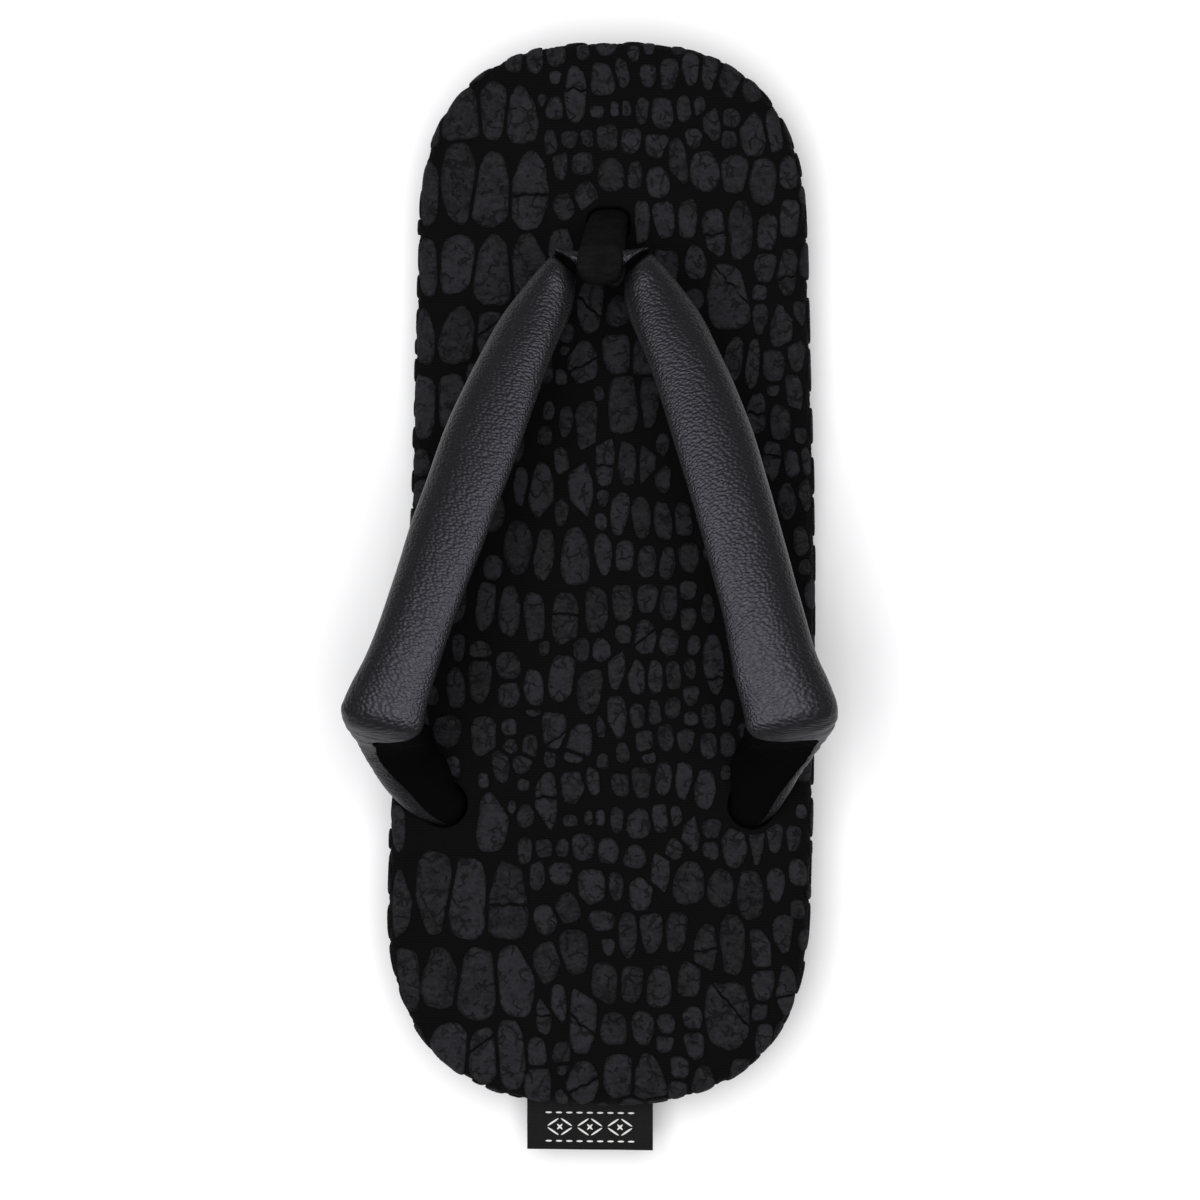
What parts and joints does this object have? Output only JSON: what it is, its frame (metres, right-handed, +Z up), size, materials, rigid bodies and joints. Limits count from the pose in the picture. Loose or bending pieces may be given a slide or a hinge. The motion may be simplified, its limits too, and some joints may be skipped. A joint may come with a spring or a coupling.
{
  "type": "setta sandal",
  "caption": "Flat Japanese thonged sandal for the left foot, with a scale-printed cloth footbed, padded leather V straps, a suede toe loop and a sponge rubber sole.",
  "frame": {"origin": "on the floor, under the middle of the sandal's bounding box", "axes": "+Y to the toe, +Z up, +X to the wearer's right, which is the inner side of this left foot"},
  "size_m": [0.1204, 0.2768, 0.0678],
  "materials": {
    "sponge_rubber": "matte black sponge rubber",
    "printed_cloth": "black knit cloth with raised charcoal scale print",
    "strap_leather": "soft pebbled black leather, low sheen",
    "suede": "matte black suede",
    "ribbon": "black satin ribbon"
  },
  "bodies": {
    "root": {"outsole": "sponge_rubber", "footbed": "printed_cloth", "strap": "strap_leather", "toe_loop": "suede", "label": "ribbon"}
  },
  "joints": []
}
